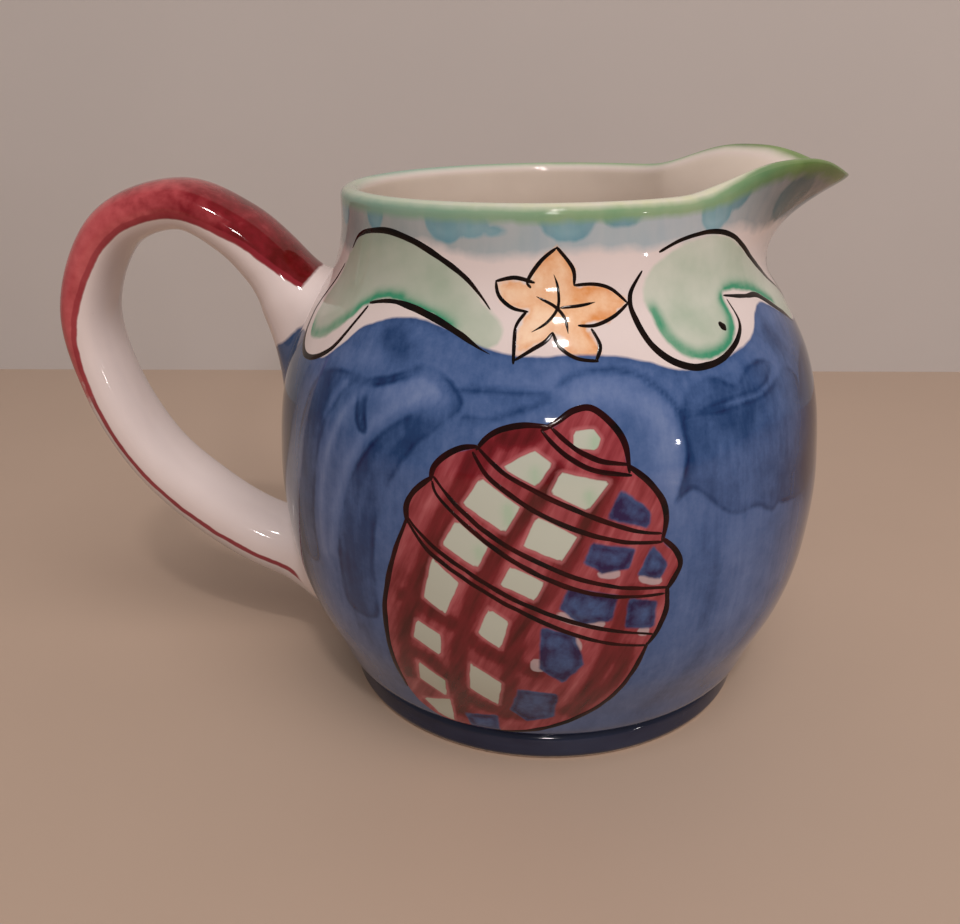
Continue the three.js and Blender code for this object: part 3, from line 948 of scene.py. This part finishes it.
def tone(red, green, blue):
    """A glaze colour from the shade that it shows in plain warm light, 0 to 255: the shade is
    made linear, the sheen of the room in the glaze and the light's tint are taken out, and it is
    scaled to the glaze's own strength."""
    shade = np.array([red, green, blue]) / 255
    linear = np.where(shade < 0.04045, shade / 12.92, ((shade + 0.055) / 1.055) ** 2.4)
    own = np.maximum(linear - SHEEN, 0.002)
    return (*(own * FULLNESS / np.array(LIGHT_TINT)).tolist(), 1.0)


def node_maths(operation, swapped=False):
    """A method that adds a Math node: the wire and the other value, or swapped round."""

    def method(self, other=0.0):
        a, b = (other, self) if swapped else (self, other)
        return self.recipe.node("ShaderNodeMath", {"operation": operation}, {0: a, 1: b})

    return method


class Wire:
    """One output of a glaze recipe. Arithmetic on wires adds Math nodes to the recipe."""

    def __init__(self, recipe, socket):
        self.recipe, self.socket = recipe, socket

    __add__ = __radd__ = node_maths("ADD")
    __sub__ = node_maths("SUBTRACT")
    __rsub__ = node_maths("SUBTRACT", swapped=True)
    __mul__ = __rmul__ = node_maths("MULTIPLY")
    __truediv__ = node_maths("DIVIDE")
    __rtruediv__ = node_maths("DIVIDE", swapped=True)
    __abs__ = node_maths("ABSOLUTE")
    most = node_maths("MAXIMUM")

    def held(self):
        """Kept between 0 and 1."""
        settings = {"operation": "ADD", "use_clamp": True}
        return self.recipe.node("ShaderNodeMath", settings, {0: self, 1: 0.0})

    def pool(self, middle, reach):
        """1 where the wire is at a middle value, falling evenly to 0 a reach away from it."""
        return (1 - abs(self - middle) / reach).held()


class Recipe:
    """A material under its maker's hands: nodes, noises, masks and layers of colour."""

    def __init__(self, name):
        self.material = bpy.data.materials.new(name)
        self.material.use_nodes = True
        self.tree = self.material.node_tree
        self.tree.nodes.clear()
        self.kept = {}

    def node(self, kind, settings=None, sockets=None, out=0):
        """Adds a node of a type, sets its settings, then its sockets, and gives one output."""
        made = self.tree.nodes.new(kind)
        for name, value in (settings or {}).items():
            if name == "stops":
                ramp = made.color_ramp
                while len(ramp.elements) < len(value):
                    ramp.elements.new(0.5)
                for element, (place, colour) in zip(ramp.elements, value):
                    element.position = place
                    element.color = colour
            else:
                setattr(made, name, value)
        for name, value in (sockets or {}).items():
            if isinstance(value, Wire):
                self.tree.links.new(value.socket, made.inputs[name])
            else:
                made.inputs[name].default_value = value
        return Wire(self, made.outputs[out]) if made.outputs else None

    def noted(self, name):
        """A number kept at the mesh's vertices."""
        if name not in self.kept:
            self.kept[name] = self.node("ShaderNodeAttribute", {"attribute_name": name}, out="Fac")
        return self.kept[name]

    def place(self, stretch=(1, 1, 1), shift=(0, 0, 0)):
        """The place on the piece in millimetres, stretched and moved to order a pattern."""
        key = (stretch, shift)
        if key not in self.kept:
            here = self.node("ShaderNodeTexCoord", out="Object")
            self.kept[key] = self.node(
                "ShaderNodeVectorMath",
                {"operation": "MULTIPLY_ADD"},
                {0: here, 1: tuple(1 / MM / s for s in stretch), 2: shift},
            )
        return self.kept[key]

    def noise(self, where, scale, detail, rough):
        """Noise about nought, from -1 to 1."""
        sockets = {"Vector": where, "Scale": scale, "Detail": detail, "Roughness": rough}
        return self.node("ShaderNodeTexNoise", None, sockets) * 2.0 - 1.0

    def grain(self, size, detail=2.0, stretch=(1, 1, 1), shift=(0, 0, 0), rough=0.5):
        """Noise of a feature size in millimetres all through the piece."""
        return self.noise(self.place(stretch, shift), 1.0 / size, detail, rough)

    def mask(self, depth, soft=0.3):
        """1 where the depth is above nought, with a soft edge in millimetres."""
        return (depth / soft + 0.5).held()

    def mix(self, share, under, over):
        """Lays a colour over another by a share, which the node keeps between 0 and 1."""
        sockets = {0: share, 6: under, 7: over}
        return self.node("ShaderNodeMix", {"data_type": "RGBA", "clamp_factor": True}, sockets, out=2)

    def ramp(self, value, stops):
        """A colour from a list of stops, by a value that the node keeps between 0 and 1."""
        return self.node("ShaderNodeValToRGB", {"stops": stops}, {0: value})

    def axis(self, letter):
        """One coordinate of the place in millimetres."""
        return self.node("ShaderNodeSeparateXYZ", None, {0: self.place()}, out=letter)

    def surface(self, shader):
        """Gives the material its shader."""
        self.node("ShaderNodeOutputMaterial", None, {"Surface": shader})
        return self.material

    def finish(self, colour, roughness, bumps, glassy=1.5):
        """The glaze itself: its colour under one glassy face. bumps is height in millimetres."""
        relief = {"Strength": 1.0, "Distance": MM, "Height": bumps}
        normal = self.node("ShaderNodeBump", None, relief, out="Normal")
        looks = {"Base Color": colour, "Roughness": roughness.held(), "IOR": glassy, "Normal": normal}
        return self.surface(self.node("ShaderNodeBsdfPrincipled", None, looks, out="BSDF"))


def white_glaze(r):
    """White glaze: barely uneven in tone, with a few faint iron specks."""
    body = r.mix(r.grain(22.0, 3.0) * 0.5 + 0.5, tone(203, 185, 180), tone(190, 171, 165))
    specks = r.grain(1.1, 1.0, shift=(3, 8, 1))
    return r.mix(r.mask(specks - 0.74, 0.1) * 0.35, body, tone(120, 96, 82))


def glaze_surface(r):
    """Height of the glaze in millimetres: a faint orange peel and slow waves."""
    return r.grain(3.4, 1.0) * 0.010 + r.grain(17.0, 1.0) * 0.05


class PotRecipe(Recipe):
    """The pot's recipe, with the noises, sides and depths that several of its coats share."""

    def __init__(self):
        super().__init__("painted_glaze")
        self.up = self.noted("up")
        self.shaky = self.grain(4.0, 2.0)
        self.streak = self.grain(3.0, 3.0, stretch=(1, 1, 7))
        self.wide_streak = self.grain(9.0, 3.0, stretch=(1, 1, 3), shift=(5, 2, 9))
        self.cloud = self.grain(12.0, 4.0, shift=(1, 7, 4))
        self.mottle = self.grain(5.0, 4.0, shift=(3, 1, 8), rough=0.65)
        self.paper = self.grain(0.8, 3.0, rough=0.7)
        self.x, self.y = self.axis("X"), self.axis("Y")
        self.toward_spout = self.mask(self.x - 48.0, 22.0)
        self.toward_handle = self.mask(-16.0 - self.x, 44.0)
        self.inner = self.noted("wave_white")
        self.wave = self.noted("wave") + self.shaky * 0.8


def lay_white(r):
    """The white glaze, a little warmer inside the pot. Gives the share of the inside too."""
    inside = r.mask(r.up - 145.5, 2.0)
    warm = r.mix(r.cloud * 0.5 + 0.5, tone(200, 182, 168), tone(190, 171, 157))
    return r.mix(inside, white_glaze(r), warm), inside


def lay_band(r, colour, inside):
    """The pale band under the rim and its turquoise dabs, with painted shade greying the band towards the
    handle and darkening band and dabs under the spout.
    """
    depth = r.noted("band") + r.shaky * 1.2 + r.wide_streak * 0.5
    share = r.mask(depth, 2.4) * (0.8 + r.streak * 0.14 + r.cloud * 0.24) * (1 - inside)
    pale = r.mix(r.wide_streak * 0.7 + 0.5, tone(150, 157, 158), tone(128, 144, 154))
    # painted shade: the band greys towards the handle and darkens under the spout
    pale = r.mix(r.toward_handle * 0.75, pale, tone(116, 124, 120))
    pale = r.mix(r.toward_spout * 0.9, pale, tone(50, 64, 72))
    colour = r.mix(share, colour, pale)
    dabs = r.noted("dabs") + r.shaky * 0.5 + r.streak * 0.3
    thick = dabs.pool(0.5, 1.3) * 0.3 + r.cloud * 0.9 + 0.3
    blue = r.mix(thick, tone(114, 148, 156), tone(72, 118, 132))
    blue = r.mix(r.mask(r.up - 136.0 + r.shaky, 3.0) * 0.35, blue, tone(64, 108, 104))
    # painted shade: the dabs darken under the spout
    blue = r.mix(r.toward_spout * 0.85, blue, tone(34, 58, 64))
    return r.mix(r.mask(dabs, 0.8) * (0.78 + r.streak * 0.24), colour, blue)


def lay_waves(r, colour):
    """White inside the wave's ink, its pale green wash, greyed by painted shade towards the handle, and
    the deep green strokes in it.
    """
    colour = r.mix(r.mask(r.inner + 0.2, 0.4), colour, white_glaze(r))
    deep = (r.noted("wave_deep") * (1.5 - r.wave / 2.6) * (0.9 + r.streak * 0.3)).held()
    green = r.mix(r.cloud * 0.9 + 0.45, tone(178, 178, 163), tone(146, 155, 136))
    # painted shade: the wave's green greys towards the handle
    green = r.mix(r.toward_handle * 0.6, green, tone(134, 142, 124))
    green = r.mix(deep, green, tone(62, 126, 96))
    return r.mix(r.mask(r.wave, 0.9) * (0.86 + r.cloud * 0.2 + deep * 0.2), colour, green)


def lay_star(r, colour):
    """The orange star, deeper where the wash pooled."""
    depth = r.noted("star") + r.shaky * 2.2 + r.streak * 0.7 - 0.2
    thick = depth.pool(0.7, 1.4) * 0.3 + r.mottle * 0.7 + r.cloud * 1.1 + 0.38
    orange = r.mix(thick, tone(222, 184, 150), tone(196, 124, 68))
    return r.mix(r.mask(depth, 0.9) * (0.9 + r.cloud * 0.3), colour, orange)


def lay_sea(r, colour):
    """The blue sea: brush strokes and dried washes set how deep it is, it greys towards the foot
    and painted shade darkens both flanks. Gives the pool along its top edge too."""
    depth = r.noted("sea") + r.shaky * 0.5
    edge_pool = depth.pool(0.5, 1.2)
    low = (1 - (r.up - 2.0) / 24.0).held()
    scratch = r.grain(1.5, 3.0, stretch=(1, 1, 9), shift=(7, 7, 1))
    wash = r.noted("sea_wash") + r.shaky * 0.35
    broken = (r.cloud * 1.5 + r.wide_streak * 0.9 + 0.4).held()
    wash_rim = wash.pool(0.7, 0.95) * broken
    inside_wash = r.mask(wash, 1.1) * (1.0 - (wash / 12.0).held() * 0.6) * (broken * 0.6 + 0.4)
    strokes = r.noted("sea_tone") + r.wide_streak * 0.36 + scratch * 0.34
    strokes = strokes + r.mottle * 0.5 + r.paper * 0.16
    blue = r.ramp(
        strokes * 0.38 + 0.42 + edge_pool * 0.08 + inside_wash * 0.26 + wash_rim * 0.26,
        [
            (0.0, tone(104, 116, 148)),
            (0.22, tone(86, 101, 137)),
            (0.45, tone(66, 84, 121)),
            (0.7, tone(42, 60, 94)),
            (1.0, tone(22, 38, 68)),
        ],
    )
    blue = r.mix(low * 0.6, blue, tone(76, 81, 100))
    # painted shade: both flanks of the belly darken, greener on the handle's side
    painted_flank_shade = r.mask(abs(r.x) - 60.0, 12.0) * r.mask(8.0 - r.y, 20.0)
    blue = r.mix(painted_flank_shade * 0.62, blue, r.mix(r.toward_handle, tone(20, 28, 50), tone(34, 52, 54)))
    share = r.mask(depth, 0.7) * (1 - r.mask(r.inner + 0.1, 0.4)) * (1 - r.mask(r.wave - 0.6, 0.9))
    return r.mix(share, colour, blue), edge_pool


def lay_shell(r, colour):
    """The plaid shell: red streaked along its columns, cream squares with green smudges,
    bare spots, and blue squares over them."""
    sockets = {0: r.noted("shell_across"), 1: r.noted("shell_along") / 7.0}
    brush = r.noise(r.node("ShaderNodeCombineXYZ", None, sockets), 0.42, 3.0, 0.55)
    red = r.ramp(
        r.noted("plaid") * 0.46 + brush * 0.5 + r.cloud * 0.26 + 0.34,
        [
            (0.0, tone(166, 92, 94)),
            (0.3, tone(138, 62, 66)),
            (0.6, tone(106, 38, 42)),
            (1.0, tone(72, 16, 20)),
        ],
    )
    cream = r.noted("cream") + r.shaky * 0.35
    red = r.mix(cream.pool(-0.35, 0.7) * 0.5, red, tone(176, 104, 106))
    smudge = (r.noted("smudge") * (0.75 + r.streak * 0.3)).held()
    red = r.mix(r.mask(cream, 0.3), red, r.mix(smudge * 0.6, tone(168, 166, 152), tone(128, 160, 128)))
    bare = r.mask(r.noted("bare") + r.shaky * 0.3, 0.35)
    red = r.mix(bare * 0.7, red, tone(170, 154, 154))
    square = r.noted("blue") + r.shaky * 0.6
    thick = square.pool(0.5, 1.3) * 0.5 + r.mottle * 1.3 + 0.35
    blue = r.mix(thick, tone(60, 82, 118), tone(12, 26, 64))
    red = r.mix(r.mask(square + 0.6, 0.6) * 0.96, red, blue)
    return r.mix(r.mask(r.noted("shell") + r.shaky * 0.3, 0.5), colour, red)


def lay_rim(r, colour):
    """The green rim, strongest on the spout, paler on its crest towards the front."""
    back = r.mask(r.y - 6.0, 30.0)
    start = r.mask(r.up - 137.3 - r.toward_spout + r.shaky * 0.7 + r.streak * 0.3, 1.6)
    share = start * (1 - r.mask(r.up - 145.4 + back, 2.2))
    green = r.mix(r.cloud * 0.8 + 0.45, tone(136, 148, 112), tone(98, 134, 98))
    green = r.mix(r.toward_handle, green, tone(122, 146, 128))
    leafy = r.mix(r.cloud + 0.5, tone(104, 126, 70), tone(68, 92, 46))
    green = r.mix(r.toward_spout, green, leafy)
    pale = r.mix(r.mottle * 0.8 + 0.3, tone(190, 180, 166), tone(184, 182, 138))
    pale = r.mix(r.toward_handle * 0.7, pale, tone(150, 164, 144))
    lowered = (r.toward_spout * 4.4).most(back * 4.4)
    crest = r.mask(r.up - 140.2 - lowered + r.shaky * 0.5, 1.6)
    return r.mix(share * 0.93, colour, r.mix(crest * 0.92, green, pale))


def pot_glaze():
    """The painted pot, laid as the painter lays it: white glaze, the pale band and its dabs,
    the green waves, the star, the blue sea, the plaid shell and last the green rim. Each coat
    has an uneven edge, pools a little where it ends and shows the brush inside."""
    r = PotRecipe()
    colour, inside = lay_white(r)
    colour = lay_star(r, lay_waves(r, lay_band(r, colour, inside)))
    colour, edge_pool = lay_sea(r, colour)
    colour = lay_rim(r, lay_shell(r, colour))
    bare_clay = r.mask(1.6 - r.up + r.shaky * 0.3, 1.6) * r.mask(r.up + 0.6, 0.8)
    colour = r.mix(bare_clay * 0.6, colour, tone(150, 142, 146))
    height = glaze_surface(r) + edge_pool * 0.006 + r.paper * 0.0008
    return r.finish(colour, 0.05 + r.grain(1.3, 2.0) * 0.015 + bare_clay * 0.08, height)


def ink_glaze(name, cloud_size, gain, base, thick, thin):
    """Raised ink between a thick and a thin tone, thinned by cloudy noise."""
    r = Recipe(name)
    colour = r.mix(r.grain(cloud_size, 3.0) * gain + base, thick, thin)
    return r.finish(colour, 0.09 + r.grain(1.5, 1.0) * 0.02, r.grain(3.4, 1.0) * 0.006, glassy=1.3)


def foot_glaze():
    """Blue-black band brushed round the foot, worn pale on the standing ring."""
    r = Recipe("foot_band")
    streak = r.grain(7.0, 3.0, stretch=(3, 3, 1))
    colour = r.mix(streak * 0.6 + 0.45, tone(30, 34, 48), tone(52, 56, 72))
    worn = r.mask(0.9 - r.axis("Z") + r.grain(2.0, 2.0) * 0.35, 0.5)
    clay = r.mix(r.grain(1.2, 3.0) * 0.5 + 0.5, tone(196, 176, 160), tone(168, 144, 126))
    roughness = 0.1 + worn * 0.55 + r.grain(1.6, 2.0) * 0.03
    height = glaze_surface(r) + worn * r.grain(0.6, 2.0) * 0.02
    return r.finish(r.mix(worn, colour, clay), roughness, height)


def handle_glaze():
    """White glaze with a red coat along the outer face and a darker red line at its edge. The
    coat stops short of the neck in a slanted edge and gives way, low down, to the line alone,
    with painted shade greying the bare outer face there.
    The sea's blue runs onto the upper root."""
    r = Recipe("handle_paint")
    shaky = r.grain(5.0, 2.0)
    cloud = r.grain(11.0, 3.0, shift=(2, 2, 7))
    streak = r.grain(3.2, 3.0, shift=(9, 1, 0))
    run = r.noted("run")
    red = r.noted("red") + shaky * 0.45
    off_wall = r.noted("off_wall")
    started = r.mask(off_wall - 5.6 + shaky * 0.8 + red * 0.12, 0.9)
    low = r.mask(run - 0.58 + streak * 0.035 + shaky * 0.01, 0.025)
    near_root = r.mask(0.27 - run, 0.22)
    red_colour = r.ramp(
        near_root * 0.6 + streak * 0.3 + cloud * 0.34 + 0.28,
        [
            (0.0, tone(180, 90, 90)),
            (0.4, tone(158, 70, 72)),
            (0.75, tone(112, 38, 42)),
            (1.0, tone(86, 16, 20)),
        ],
    )
    colour = r.mix(r.mask(red, 0.5) * (1 - low) * started, white_glaze(r), red_colour)
    line = r.mask(0.85 - abs(red - 0.75), 0.35) * started
    line_colour = r.mix(cloud * 0.6 + 0.4, tone(140, 52, 58), tone(112, 34, 42))
    colour = r.mix(line * (0.72 + low * 0.25), colour, line_colour)
    # painted shade: low down, the bare outer face turns grey as a face turned from the light
    under = low * r.mask(red - 1.8, 1.4)
    colour = r.mix(under * (0.4 + cloud * 0.4), colour, tone(166, 158, 156))
    x, z = r.axis("X"), r.axis("Z")
    sea_edge = r.mask(99.6 - z + shaky * 0.8 + (x + 72.0) * 0.8, 0.9) * r.mask(9.0 - off_wall, 1.0)
    colour = r.mix(sea_edge * r.mask(z - 60.0, 4.0), colour, tone(52, 70, 100))
    return r.finish(colour, 0.07 + r.grain(1.4, 1.0) * 0.02, glaze_surface(r))


# ---- making the pieces ----------------------------------------------------------------------

rings, around, up = pot_rings()
pot = piece(
    "glazed_pot",
    [closed_skin(rings, (0, 0, BED_LEVEL), (0, 0, FLOOR_LEVEL))],
    pot_glaze(),
    ("body", "spout"),
)
paint_pot(pot, around.ravel(), up.ravel())

piece(
    "foot_ring",
    [closed_skin(foot_rings(), (0, 0, 1.0), (0, 0, FOOT_HEIGHT))],
    foot_glaze(),
    ("foot",),
)

strap, girth, run, off_wall = handle_rings()
handle = piece(
    "strap_handle",
    [closed_skin(strap)],
    handle_glaze(),
    ("handle", "handle_upper_joint", "handle_lower_joint"),
)
paint_handle(handle, girth, run, off_wall)

ink = ink_glaze("ink_under_glaze", 5.0, 0.7, 0.35, tone(24, 22, 22), tone(46, 36, 32))
ink_over_red = ink_glaze("ink_over_red", 6.0, 0.9, 0.4, tone(26, 18, 19), tone(60, 20, 22))
shell_lines = [(line, 1.4, 0.75, 0.7) for line in SHELL_EDGE]
shell_lines += [(line, 1.1, 0.7, 0.7) for line in SHELL_BANDS]
star_lines = [(line, 0.85, 0.9, 1.0) for line in STAR_EDGE]
star_lines += [(line, 0.66, 0.4, 0.4) for line in STAR_CREASES]
tail_lines = [(TAIL_TOP, 1.35, 0.5, 0.35), (TAIL_FIN, 1.35, 0.5, 0.8), (TAIL_LOW, 1.4, 0.8, 0.2)]
curl_lines = [(CURL_TOP, 1.15, 0.8, 0.3), (CURL_ROUND, 1.45, 0.5, 0.4)]
curl_lines += [(CURL_LIP, 1.3, 0.6, 0.3), (CURL_DOT, 1.7, 0.7, 0.7)]
ink_piece("shell_ink", "shell", shell_lines, ink_over_red, swell=0.1)
ink_piece("star_ink", "star", star_lines, ink, swell=0.12)
ink_piece("wave_tail_ink", "tail", tail_lines, ink)
ink_piece("wave_curl_ink", "curl", curl_lines, ink)


# ---- floor, backdrop, light and camera --------------------------------------------------------


def plain_finish(name, colour, roughness, grain_size, one_sided=False):
    """A matt studio surface with a barely visible unevenness. A one-sided one is clear when seen
    from behind, so that the pot's back can be looked at through it."""
    r = Recipe(name)
    darker = [0.95 * part for part in colour]
    shade = r.mix(r.grain(grain_size, 3.0) * 0.5 + 0.5, (*colour, 1.0), (*darker, 1.0))
    looks = {"Base Color": shade, "Roughness": roughness}
    shader = r.node("ShaderNodeBsdfPrincipled", None, looks, out="BSDF")
    if one_sided:
        behind = r.node("ShaderNodeNewGeometry", out="Backfacing")
        clear = r.node("ShaderNodeBsdfTransparent", out="BSDF")
        shader = r.node("ShaderNodeMixShader", None, {"Fac": behind, 1: shader, 2: clear}, out="Shader")
    return r.surface(shader)


def studio_sheet(name, corners, material):
    """One flat sheet of the studio from its four corners in metres."""
    mesh = bpy.data.meshes.new(name)
    mesh.from_pydata(corners, [], [(0, 1, 2, 3)])
    mesh.materials.append(material)
    return put(name, mesh)


BACKDROP_AT = 0.30
floor = studio_sheet(
    "floor",
    [(-3, -3, 0), (3, -3, 0), (3, 3, 0), (-3, 3, 0)],
    plain_finish("pale_table", (0.52, 0.39, 0.30), 0.5, 60.0),
)
wall = studio_sheet(
    "backdrop",
    [(-3, BACKDROP_AT, -0.5), (3, BACKDROP_AT, -0.5), (3, BACKDROP_AT, 2.5), (-3, BACKDROP_AT, 2.5)],
    plain_finish("pale_wall", (0.60, 0.55, 0.52), 0.8, 90.0, one_sided=True),
)


POT_MIDDLE = Vector((0, 0, 0.08))
ROOM_LIGHT = 0.18


def lamp(name, towards, distance, size, power):
    """An area lamp that looks at the pot's middle from a direction."""
    light = bpy.data.lights.new(name, "AREA")
    light.shape = "RECTANGLE"
    light.size, light.size_y = size
    light.energy = power
    light.color = LIGHT_TINT
    made = put(name, light)
    way = Vector(towards).normalized()
    made.location = way * distance + POT_MIDDLE
    made.rotation_mode = "QUATERNION"
    made.rotation_quaternion = way.to_track_quat("Z", "Y")
    return made


lamp("ceiling", (0.28, -0.62, 1.0), 1.6, (1.4, 1.0), 14.5).visible_glossy = False
lamp("lamp_high", (0.09, -0.61, 0.79), 1.5, (0.12, 0.06), 3.6)
lamp("lamp_front", (0.05, -0.92, 0.42), 1.5, (0.12, 0.04), 2.2)
lamp("lamp_right", (0.77, -0.62, 0.10), 1.5, (0.03, 0.06), 0.5)

world = bpy.data.worlds.new("soft_room")
world.use_nodes = True
world.node_tree.nodes["Background"].inputs[0].default_value = (*LIGHT_TINT, 1.0)
world.node_tree.nodes["Background"].inputs[1].default_value = ROOM_LIGHT
bpy.context.scene.world = world

bpy.context.scene.view_settings.view_transform = "Standard"
bpy.context.scene.view_settings.look = "None"


def stand_camera(place, pan, pitch, roll, lens):
    """The camera at a place, looking along +Y turned by pan, tipped down by pitch, rolled."""
    pan, pitch, roll = math.radians(pan), math.radians(pitch), math.radians(roll)
    flat = math.cos(pitch)
    ahead = Vector((math.sin(pan) * flat, math.cos(pan) * flat, -math.sin(pitch)))
    right = ahead.cross(Vector((0, 0, 1))).normalized()
    above = right.cross(ahead)
    right, above = (
        right * math.cos(roll) + above * math.sin(roll),
        above * math.cos(roll) - right * math.sin(roll),
    )
    data = bpy.data.cameras.new("camera")
    data.sensor_width, data.lens = 36.0, lens
    data.clip_start, data.clip_end = 0.01, 20.0
    made = put("camera", data)
    turned = Matrix((right, above, -ahead)).transposed().to_4x4()
    made.matrix_world = Matrix.Translation(Vector(place)) @ turned
    bpy.context.scene.camera = made


stand_camera((0.0, -0.2615, 0.1660), -4.13, 21.89, -1.01, 35.89)
